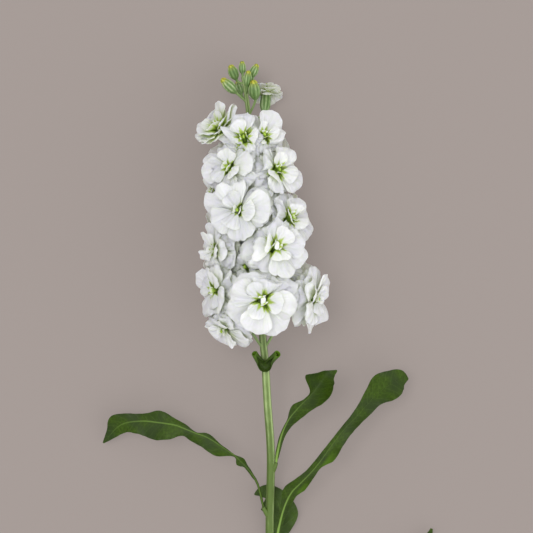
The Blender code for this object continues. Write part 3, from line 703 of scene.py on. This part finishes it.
def makeStemMaterial():
    # Fresh green skin under a waxy bloom: pale ribs, darker grooves and fine streaks along it.
    # The attribute kind is 0 on the stem and 1 on a calyx or bud.
    surface = {
        "Roughness": 0.42,
        "Specular IOR Level": 0.25,
        "Subsurface Weight": 0.12,
        "Subsurface Radius": (0.5, 1.0, 0.2),
        "Subsurface Scale": 0.001,
    }
    made, tree, add, shader = newMaterial("green_stem_skin", surface)
    rib, kind, tipward = (
        add("Attribute", {"attribute_name": name}, output="Fac")
        for name in ("rib", "kind", "tipward")
    )
    spot = add("TexCoord", output="Object")
    wide, long = stem["streaks"]
    scales = [1 / (size * mm) for size in (wide, long, wide)]
    scaled = add("Mapping", inputs={"Vector": spot, "Scale": scales})
    streak = add("TexNoise", inputs={"Vector": scaled, "Scale": 1.0, "Detail": 3.0})
    scale = 1 / (stem["blotches"] * mm)
    blotch = add("TexNoise", inputs={"Vector": spot, "Scale": scale, "Detail": 2.0})
    marks = add("Math", minus, (add("Math", plus, (streak, blotch)), 1.0))
    ribbed = add("Math", timesPlus, (marks, 0.7, rib))
    share = add("MapRange", smooth, (ribbed, -0.1, 1.1))
    bark = add("Mix", mixed, {0: share, 6: colours["stemDark"], 7: colours["stemLight"]}, 2)
    skin = colours["calyxDeep"]
    for value, low, high, most, tone in (
        (ribbed, 0.15, 0.6, 1.0, "calyx"),
        (ribbed, 0.55, 0.95, 1.0, "calyxRib"),
        (tipward, 0.75, 1.1, 0.35, "budTip"),
    ):
        share = add("MapRange", smooth, (value, low, high, 0.0, most))
        skin = add("Mix", mixed, {0: share, 6: skin, 7: colours[tone]}, 2)
    tree.links.new(add("Mix", mixed, {0: kind, 6: bark, 7: skin}, 2), shader.inputs["Base Color"])
    relief = {"Strength": 0.35, "Distance": 0.0002, "Height": streak}
    tree.links.new(add("Bump", inputs=relief), shader.inputs["Normal"])
    return made


def seamShare(angles):
    # 1 along the four seams between the sepals, and falling off to each side.
    quarter = (angles / (math.pi / 2)) % 1
    return np.exp(-(((quarter - 0.5) / calyx["seamWidth"]) ** 2))


def addStalk(mesh, control, radius, swell, sepalTip=0.0):
    # A stalk along the control curve that swells into a ribbed calyx or bud.
    # swell lists (centre, radius, share of the way to its tip, lift) for the swollen end, and
    # sepalTip is how far the four sepals' points reach past it where the lift is 1.
    shares = np.linspace(0.0, 1.0, 14)[:-1]
    rows = [
        (centre, radius * (1 + 0.35 * share**4), 0.35 + 0.3 * share, 0.0, 0.0)
        for centre, share in zip(bentCurve(control, shares), shares)
    ]
    rows += [(centre, wide, 1.0, share, lift) for centre, wide, share, lift in swell]
    centres, radii, kinds, tipward, lifts = zip(*rows)
    swollen = np.clip((np.arange(len(rows)) - len(shares) + 1) / 4, 0.0, 1.0)

    def ribs(k, angles):
        bend = 1 - budShape["sepalBend"] * lifts[k] * (0.5 + 0.5 * np.cos(angles * 4))
        ripple = calyx["ribHeight"] * np.cos(angles * 8) + calyx["seamDepth"] * seamShare(angles)
        return bend * (1 - swollen[k] * ripple)

    def sepals(k, angles):
        return sepalTip * lifts[k] * (0.5 + 0.5 * np.cos(angles * 4))

    sides = calyx["sides"]
    points, faces, angles = tube(centres, radii, sides, ribs, sepals)
    stripes = 0.32 * np.cos(angles * 8) - 0.15 * seamShare(angles)
    kind, tipward = np.repeat(kinds, sides), np.repeat(tipward, sides)
    mesh.add(points, faces, rib=0.55 - np.repeat(swollen, sides) * stripes, kind=kind, tipward=tipward)


def addLeafBase(mesh, stations):
    # The swelling that runs up the stem and out to a leaf's foot.
    foot, ahead = np.array(stations[0][:3]), np.array(stations[1][:3])
    direction = unit(ahead - foot)
    end = foot - direction * leafBase["gap"]
    start = stemFrame(foot[1] - leafBase["run"])[0]
    middle = stemFrame(foot[1] - leafBase["run"] / 2)[0]
    shares = np.linspace(0.0, 1.0, 12)
    centres = bentCurve((start, middle, end - direction * 3.0, end), shares)
    points, faces, _ = tube(centres, np.interp(shares, (0.0, 0.6, 1.0), leafBase["radii"]), 16)
    plain = np.zeros(len(points))
    mesh.add(points, faces, rib=plain - 0.1, kind=plain, tipward=plain)


def buildStem(places, material):
    mesh = Mesh()
    start, end = stem["line"][0][1], stem["line"][-1][1]
    count = round((end - start) / stem["step"])
    rows = [stemFrame(start + (end - start) * k / count) for k in range(count + 1)]
    centres, _, _, _, radii = zip(*rows)

    def turned(k, angles):
        # The angles from the ribs, which wind slowly round the stem.
        return angles * stem["ribs"] - stem["ribTurn"] + k * stem["wind"]

    def ribs(k, angles):
        return 1 + stem["ribHeight"] * (np.cos(turned(k, angles)) - 0.4)

    def slantedCut(k, angles):
        return np.cos(angles) * (stem["cutSlant"] if k == 0 else 0.0)

    points, faces, angles = tube(centres, radii, stem["sides"], ribs, slantedCut)
    # Its ribs are pale, one side is paler with painted light, and it darkens away from the head.
    rib = 0.4 + 0.25 * np.cos(turned(np.repeat(np.arange(count + 1), stem["sides"]), angles))
    rib += 0.35 * np.exp(-(((angles - stem["paintedLitSide"]) / 0.3) ** 2))
    rib -= 0.55 * np.clip((-10.0 - points[:, 1]) / 60.0, 0.0, 1.0)
    plain = np.zeros(len(points))
    mesh.add(points, faces, rib=rib, kind=plain, tipward=plain)

    for bloom in places:
        top = bloom.foot - bloom.axis * 0.3
        length, wide, drop = calyx["others"].get(bloom.name, calyx["usual"])
        bottom = top - bloom.axis * length
        joint, direction, _, _, radius = stemFrame(bloom.along - drop)
        leave = joint + unit(bloom.outward + direction) * radius
        control = (joint, leave + bloom.outward * 1.5, bottom - bloom.axis * 3.0, bottom)
        swell = [(bottom + (top - bottom) * h, wide * r, 0.6 * h, 0.0) for h, r in calyx["profile"]]
        addStalk(mesh, control, bloomShape["stalkRadius"], swell)

    for name, stations in leaves.items():
        if name != "leaf_top":
            addLeafBase(mesh, stations)

    for along, foot, tip, radius in buds:
        foot, tip = np.array(foot), np.array(tip)
        joint = stemFrame(along)[0]
        control = (joint, joint * 0.5 + foot * 0.5, foot - unit(tip - foot) * 3.0, foot)
        swell = [(foot + (tip - foot) * h, radius * r, h, lift) for h, r, lift in budShape["profile"]]
        addStalk(mesh, control, budShape["stalkRadius"], swell, budShape["sepalTip"])
    mesh.build("stem_skin", [material], "green_stem", "stem")


def makeBudTipMaterial():
    # Petals still rolled in the bud, soft and matte: yellow-green, with painted shade darkening the
    # folds.
    made, tree, add, shader = newMaterial(
        "yellow_bud_petal",
        {"Roughness": 0.5, "Subsurface Weight": 0.2, "Subsurface Scale": 0.0008},
    )
    fold = add("Attribute", {"attribute_name": "rib"}, output="Fac")
    share = add("MapRange", smooth, (fold, 0.0, 0.8))
    tones = {0: share, 6: colours["budTipFoldShade"], 7: colours["budTip"]}
    tree.links.new(add("Mix", mixed, tones, 2), shader.inputs["Base Color"])
    return made


def buildBudTips(material):
    heights, shares = np.transpose(budShape["tipProfile"])
    sides = calyx["sides"]

    def folds(k, angles):
        return np.cos(angles * 4 + k * 0.5)

    def folded(k, angles):
        return 1 + budShape["tipFolds"] * folds(k, angles)

    for number, (_, foot, tip, radius) in enumerate(buds):
        foot, tip = np.array(foot), np.array(tip)
        length = np.linalg.norm(tip - foot)
        centres = [tip + (tip - foot) / length * (0.3 + length * height) for height in heights]
        points, faces, angles = tube(centres, radius * shares, sides, folded)
        rings = np.repeat(np.arange(len(heights)), sides)
        mesh = Mesh()
        # The rib value is low in the folds' troughs, where the material paints a darker shade.
        mesh.add(points, faces, rib=0.5 + 0.5 * folds(rings, angles))
        name = f"bud_tip_{number + 1}"
        mesh.build(name + "_petals", [material], "yellow_petal", name)


# Leaf stations: x, y, z of the midrib, half widths left and right of the way it grows, and
# how far each half folds up from flat and curls on to its edge.
leaves = {
    "leaf_top": (
        (-9.2, 15.2, 36.9, 6.4, 6.4, 18, 150),
        (-6, 10.2, 34.4, 6.2, 6.2, 14, 120),
        (-1.9, 5.7, 33.5, 4.6, 4.6, 8, 60),
        (2.3, 10.4, 35.6, 6, 6, 14, 120),
        (7.1, 15.3, 39.9, 7.4, 7.4, 18, 150),
    ),
    "leaf_left": (
        (-3.1, -85.4, 17.5, 0.7, 0.7, 10, 0),
        (-6.5, -71.2, 21, 0.7, 0.7, 10, 0),
        (-10.7, -63.6, 24, 1, 1, 15, 10),
        (-14.6, -58.4, 26, 1.4, 1.6, 20, 10),
        (-17.8, -55.2, 27, 3.9, 3.3, 25, 20),
        (-21.4, -51.7, 27.8, 0.7, 0.6, 10, 0),
        (-29.9, -45.6, 28.2, 7.5, 0.5, 5, 25),
        (-38.9, -40, 28, 7.5, 2.6, 5, 25),
        (-46.4, -37.3, 27.4, 6, 0.7, 5, 25),
        (-53, -34.7, 26.4, 4.8, 2.7, 5, 10),
        (-59.4, -32.4, 25, 9.2, 3.9, 8, 5),
        (-66.2, -31.3, 23.4, 10.7, 6.7, 5, 5),
        (-71.1, -30.8, 22, 11.4, 7.8, 5, 5),
        (-78.4, -30.1, 20, 10.1, 5.2, 5, 5),
        (-85.3, -30.4, 18, 7.8, 5, 5, 5),
        (-91.8, -31.5, 16, 6.1, 6.5, 5, 5),
        (-96.9, -34, 14, 5.6, 8.2, 5, 5),
        (-101.7, -38.8, 11, 3.6, 3.9, 5, 5),
        (-107.1, -45.1, 7.5, 0.5, 0.5, 0, 0),
    ),
    "leaf_upper": (
        (5.3, -56.4, 22, 0.6, 0.6, 5, 0),
        (6.2, -49.5, 24, 1.3, 1.6, 10, 0),
        (8.7, -38.4, 27, 1, 2.5, 12, 0),
        (12.8, -29.1, 29.5, 0.8, 4.4, 12, 10),
        (18.4, -21.8, 31.5, 4.4, 6.7, 15, 20),
        (24, -15.8, 33, 1.3, 8.6, 15, 30),
        (28.5, -11.1, 33.6, 2.8, 11.4, 20, 35),
        (32.2, -6.5, 33.6, 15.7, 13.4, 25, 40),
        (35.4, -2.1, 33, 7.4, 10.6, 25, 40),
        (39.1, 1.1, 31.5, 2.4, 5, 15, 20),
        (44.1, 2.9, 29.5, 0.5, 0.5, 0, 0),
    ),
    "leaf_right": (
        (5.3, -113.5, 12.6, 0.8, 0.8, 5, 0),
        (6.4, -102.1, 16, 0.9, 1.7, 10, 0),
        (8.8, -91, 20, 1.6, 2.7, 15, 0),
        (11.7, -82.2, 23, 3.6, 3.7, 15, 10),
        (15.4, -75.1, 25.4, 6.4, 4.4, 15, 20),
        (20.4, -69.8, 27.2, 5.1, 5.5, 15, 25),
        (26.1, -63.9, 28.8, 3.6, 4, 15, 20),
        (31.8, -57.2, 30, 3.4, 3.3, 15, 20),
        (36.7, -50.5, 30.8, 3.1, 7.1, 15, 20),
        (42.6, -42.3, 31, 2.5, 6.5, 15, 15),
        (49.1, -34.1, 30.6, 2.5, 5.8, 15, 15),
        (55.8, -27.4, 29.6, 3.4, 5.1, 12, 10),
        (61.7, -21, 28.2, 4.7, 5.9, 8, 5),
        (67.7, -14.4, 26.4, 7.1, 6.5, 5, 5),
        (74.3, -8.8, 24, 10.1, 9.7, 4, 0),
        (81, -4.7, 21.6, 8, 9.7, 4, 0),
        (86.2, -2.7, 19.6, 5.8, 6.3, 0, 0),
        (90.5, -3, 18, 0.6, 0.6, 0, 0),
    ),
    "leaf_back": (
        (1.6, -120.9, 6.1, 1, 1, 5, 0),
        (4.3, -110.7, 4.4, 3.3, 3.3, 5, 0),
        (7.2, -100.2, 4.6, 6.2, 8.2, 5, 5),
        (7.8, -90.9, 5.8, 9.9, 11.8, 5, 5),
        (5.9, -83, 7, 11.8, 8.5, 5, 5),
        (1, -77.1, 7.4, 5.9, 4.9, 5, 5),
        (-4.2, -76.8, 7, 3.9, 3.3, 5, 5),
        (-8.8, -78.9, 6.4, 0.5, 0.5, 0, 0),
    ),
    "leaf_low": (
        (5.2, -152, 6, 1.4, 1.4, 5, 0),
        (16, -147, 8.5, 1.7, 1.7, 10, 0),
        (32, -141, 11.5, 4, 4, 12, 5),
        (53, -137, 13, 7, 7, 10, 5),
        (75, -133, 12.5, 8.5, 8, 8, 5),
        (93, -123, 10, 6.5, 6.5, 5, 5),
        (103, -109, 7.6, 3.2, 3.2, 5, 0),
        (106.6, -101, 6.6, 0.7, 0.7, 0, 0),
    ),
}
# Their skin and edges. Lengths are in mm, also the size of each pattern, which has its detail
# beside it, and the grain is coarse enough to show. ribStrength and ribAlong say how clearly a
# midrib shows, from foot to tip.
leafShape = {
    "columns": 25,
    "step": 1.1,
    "thickness": 0.55,
    "ribThickness": 1.3,
    "waveHeight": 1.1,
    "waveLength": 24.0,
    "frill": 0.35,
    "frillLength": 6.5,
    "veinSpacing": 5.0,
    "veinWobble": 3.0,
    "patterns": {
        "wobble": (4.0, 2.0),
        "mottle": (1.6667, 4.0),
        "cloud": (14.286, 1.0),
        "grain": (0.41667, 3.0),
    },
    "mouth": 2.0,
    "ribStrength": {"leaf_top": 0.25, "leaf_back": 0.7},
    "ribAlong": {"leaf_left": (0.25, 0.25, 0.25, 0.3, 0.38, 0.36, 0.2, 0.0)},
    "underUp": ("leaf_back",),
    "lobes": {"leaf_right": ((43.0, 8.0), (68.0, 8.0))},
}


def makeLeafMaterial(name, body, roughness):
    # Leaf skin with a fine down: a pale midrib, branching veins pressed in, and a faint mottle.
    surface = {
        "Roughness": roughness,
        "Specular IOR Level": 0.12,
        "Subsurface Weight": 0.06,
        "Subsurface Radius": (0.4, 1.0, 0.2),
        "Subsurface Scale": 0.0008,
    }
    made, tree, add, shader = newMaterial(name, surface)
    rib, mouth = (
        add("Attribute", {"attribute_name": name}, output="Fac") for name in ("rib", "mouth")
    )
    spot = add("Attribute", {"attribute_name": "leaf_spot"}, output="Vector")
    noise = {
        name: add("TexNoise", inputs={"Vector": spot, "Scale": 1 / size, "Detail": detail})
        for name, (size, detail) in leafShape["patterns"].items()
    }
    side, along = (add("SeparateXYZ", inputs=(spot,), output=k) for k in (0, 1))
    across = add("Math", {"operation": "ABSOLUTE"}, (side,))
    # The side veins leave the midrib at a slant and wander a little.
    branch = add("Math", timesPlus, (across, -0.9, along))
    branch = add("Math", timesPlus, (noise["wobble"], leafShape["veinWobble"], branch))
    turns = add("Math", times, (branch, 2 * math.pi / leafShape["veinSpacing"]))
    vein = add("MapRange", smooth, (add("Math", sine, (turns,)), 0.86, 1.0))
    # The midrib is wider towards the leaf's foot.
    width = add("Math", timesPlus, (rib, 1.1, 0.55))
    fromRib = add("Math", {"operation": "DIVIDE"}, (across, width))
    onRib = add("MapRange", smooth, (fromRib, 0.25, 0.75, 1.0, 0.0))
    colour = body
    for share, tone in (
        (add("MapRange", smooth, (noise["mottle"], 0.3, 0.8)), "leafPale"),
        (add("MapRange", smooth, (noise["cloud"], 0.35, 0.7)), "leafDark"),
        (add("Math", times, (vein, 0.05)), "leafRib"),
        (add("Math", times, (onRib, rib)), "leafRib"),
        (mouth, "leafInside"),
    ):
        colour = add("Mix", mixed, {0: share, 6: colour, 7: colours[tone]}, 2)
    tree.links.new(colour, shader.inputs["Base Color"])
    height = add("Math", minus, (noise["grain"], vein))
    height = add("Math", times, (height, 0.35))
    height = add("Math", minus, (height, onRib))
    relief = {"Strength": 0.5, "Distance": 0.0003, "Height": height}
    tree.links.new(add("Bump", inputs=relief), shader.inputs["Normal"])
    return made


def leafGrid(stations):
    # A leaf's middle surface as rows across it, with its thickness, the place of each point on
    # the flat leaf in mm, and how clearly the midrib shows.
    line = smoothRows(stations, np.linspace(0, 1, 81))[:, :3]
    length = np.linalg.norm(np.diff(line, axis=0), axis=1).sum()
    share = np.linspace(0, 1, max(int(round(length / leafShape["step"])), 12) + 1)
    across = np.linspace(-1, 1, leafShape["columns"])
    row = smoothRows(stations, share)
    ahead, behind = (smoothRows(stations, share + shift)[:, :3] for shift in (0.01, -0.01))
    direction = unit(ahead - behind)
    side = unit(np.cross(direction, up))
    upward = np.cross(side, direction)
    # Each half folds up from the midrib and curls on to its edge.
    a = np.abs(across)[None, :]
    right = (across > 0)[None, :]
    width = np.maximum(np.where(right, row[:, 4:5], row[:, 3:4]), 0.5)
    fold = np.radians(row[:, 5:6]) * np.ones_like(a)
    curl = np.radians(row[:, 6:7]) * a
    bend = np.where(np.abs(curl) < 1e-3, 1e-3, curl)
    reach = width * a * (np.sin(fold + bend) - np.sin(fold)) / bend
    rise = width * a * (np.cos(fold) - np.cos(fold + bend)) / bend
    # Broad waves, and a frill along the edge.
    turns = 2 * math.pi * length * share[:, None]
    phase = np.where(right, 1.3, 3.6)
    broad = np.minimum(width / 6.0, 1.0)
    wave = leafShape["waveHeight"] * np.sin(turns / leafShape["waveLength"] + phase) * a**2
    wave += leafShape["frill"] * np.sin(turns / leafShape["frillLength"] + phase * 2.1) * a**6
    reach = reach * np.sign(across)[None, :]
    rise = rise + wave * broad
    grid = row[:, None, :3] + side[:, None, :] * reach[..., None] + upward[:, None, :] * rise[..., None]
    onRib = np.maximum(0.0, 1 - a * width / 1.6) * (1 - share[:, None])
    thickness = leafShape["thickness"] * (1 - 0.4 * a**4)
    thickness = thickness + (leafShape["ribThickness"] - leafShape["thickness"]) * onRib
    along = share[:, None] * length * np.ones_like(a)
    spot = np.stack([across[None, :] * width, along, np.zeros_like(along)], axis=-1)
    return grid, thickness, spot, (1 - share[:, None]) ** 2.5 * np.ones_like(a)


def buildLeaves(top, under):
    for name, stations in leaves.items():
        grid, thickness, spot, ribShare = leafGrid(stations)
        points, faces, slots = shell(grid, thickness)
        if name in leafShape["underUp"]:
            slots = [1 - slot for slot in slots]
        ribAlong = leafShape["ribAlong"].get(name, ())
        if ribAlong:
            shares, given = (np.linspace(0.0, 1.0, len(values)) for values in (ribShare, ribAlong))
            shown = np.interp(shares, given, ribAlong)
            ribShare = np.repeat(shown[:, None], leafShape["columns"], axis=1)
        spot = spot.reshape(-1, 3)
        fromEnd = np.minimum(spot[:, 1], spot[:, 1].max() - spot[:, 1])
        mouth = np.exp(-fromEnd / leafShape["mouth"]) if name == "leaf_top" else fromEnd * 0.0
        for middle, half in leafShape["lobes"].get(name, ()):
            # The turned-up edge of a folded lobe shows the leaf's brighter inside.
            outer = np.clip((spot[:, 0] - 1.5) / 2.0, 0.0, 1.0)
            mouth += outer * np.clip(1.5 - np.abs(spot[:, 1] - middle) / half * 1.5, 0.0, 1.0) * 0.35
        mesh = Mesh()
        mesh.add(
            points,
            faces,
            slots,
            leaf_spot=np.tile(spot, (2, 1)),
            rib=np.tile(ribShare.ravel(), 2) * leafShape["ribStrength"].get(name, 1.0),
            mouth=np.concatenate([mouth, mouth * 0.4]),
        )
        mesh.build(name + "_blade", [top, under], "green_leaf", name)


# The floor is matte paper over a light box. Its glow is the share of its light from below.
# Its fibres are 1.1 mm, drawn coarser than real ones so that they show.
floor = {"colour": "#908783", "size": 6000.0, "glow": 0.42, "glowStrength": 1.4, "fibre": 1.111}


# Light: an even sky and two wide soft lamps, as strength, width of the disc, and how many
# degrees it stands from overhead towards the left and towards the top of the picture.
light = {
    "key": (1.32, 30.0, 12.0, 6.0),
    "fill": (0.95, 70.0, -50.0, -20.0),
    "lampColour": "#FFFDFB",
    "skyStrength": 0.88,
    "skyColour": "#F3F3F4",
}


# Camera: straight above, with the picture's middle a little below the flower head.
camera = {"x": -1.0, "y": 69.6, "height": 1430.0, "lens": 147.7, "sensor": 36.0}


def makeFloorMaterial():
    # Smooth matte paper with a trace of fibre, lit from above and from below.
    colour, glow = toLinear(floor["colour"]), floor["glow"]
    surface = {
        "Base Color": (*(value * (1 - glow) for value in colour[:3]), 1.0),
        "Roughness": 0.95,
        "Specular IOR Level": 0.05,
        "Emission Color": colour,
        "Emission Strength": glow * floor["glowStrength"],
    }
    made, tree, add, shader = newMaterial("matte_paper_floor", surface)
    spot = add("TexCoord", output="Object")
    scale = 1 / (floor["fibre"] * mm)
    fibre = add("TexNoise", inputs={"Vector": spot, "Scale": scale, "Detail": 3.0})
    relief = {"Strength": 0.05, "Distance": 0.0001, "Height": fibre}
    tree.links.new(add("Bump", inputs=relief), shader.inputs["Normal"])
    return made


def buildStage():
    half = floor["size"] * mm / 2
    corners = [(-half, -half, 0), (half, -half, 0), (half, half, 0), (-half, half, 0)]
    data = bpy.data.meshes.new("floor")
    data.from_pydata(corners, [], [(0, 1, 2, 3)])
    data.materials.append(makeFloorMaterial())
    table = bpy.data.objects.new("floor", data)
    bpy.context.scene.collection.objects.link(table)

    for name in ("key", "fill"):
        strength, disc, fromLeft, fromTop = light[name]
        lamp = bpy.data.objects.new(name, bpy.data.lights.new(name, "SUN"))
        lamp.data.energy = strength
        lamp.data.angle = math.radians(disc)
        lamp.data.color = toLinear(light["lampColour"])[:3]
        lamp.rotation_euler = (-math.radians(fromTop), -math.radians(fromLeft), 0)
        bpy.context.scene.collection.objects.link(lamp)
    world = bpy.data.worlds.new("sky")
    world.use_nodes = True
    background = world.node_tree.nodes["Background"]
    background.inputs[0].default_value = toLinear(light["skyColour"])
    background.inputs[1].default_value = light["skyStrength"]
    bpy.context.scene.world = world


def placeCamera():
    view = bpy.data.objects.new("camera", bpy.data.cameras.new("camera"))
    view.data.lens = camera["lens"]
    view.data.sensor_width = camera["sensor"]
    view.data.clip_start = 0.05
    view.location = Vector((camera["x"], camera["y"], camera["height"])) * mm
    bpy.context.scene.collection.objects.link(view)
    bpy.context.scene.camera = view
    bpy.context.scene.view_settings.view_transform = "Standard"


print("stage")
placeCamera()
buildStage()
places = [Bloom(number, row) for number, row in enumerate(blooms)]
for place in places:
    place.findRoom(places)
print("stem")
buildStem(places, makeStemMaterial())
print("leaves")
buildLeaves(
    makeLeafMaterial("dark_leaf_top", colours["leaf"], 0.45),
    makeLeafMaterial("grey_leaf_underside", colours["leafUnder"], 0.6),
)
print("blooms")
buildBlooms(places, makePetalMaterial())
print("bud tips")
buildBudTips(makeBudTipMaterial())
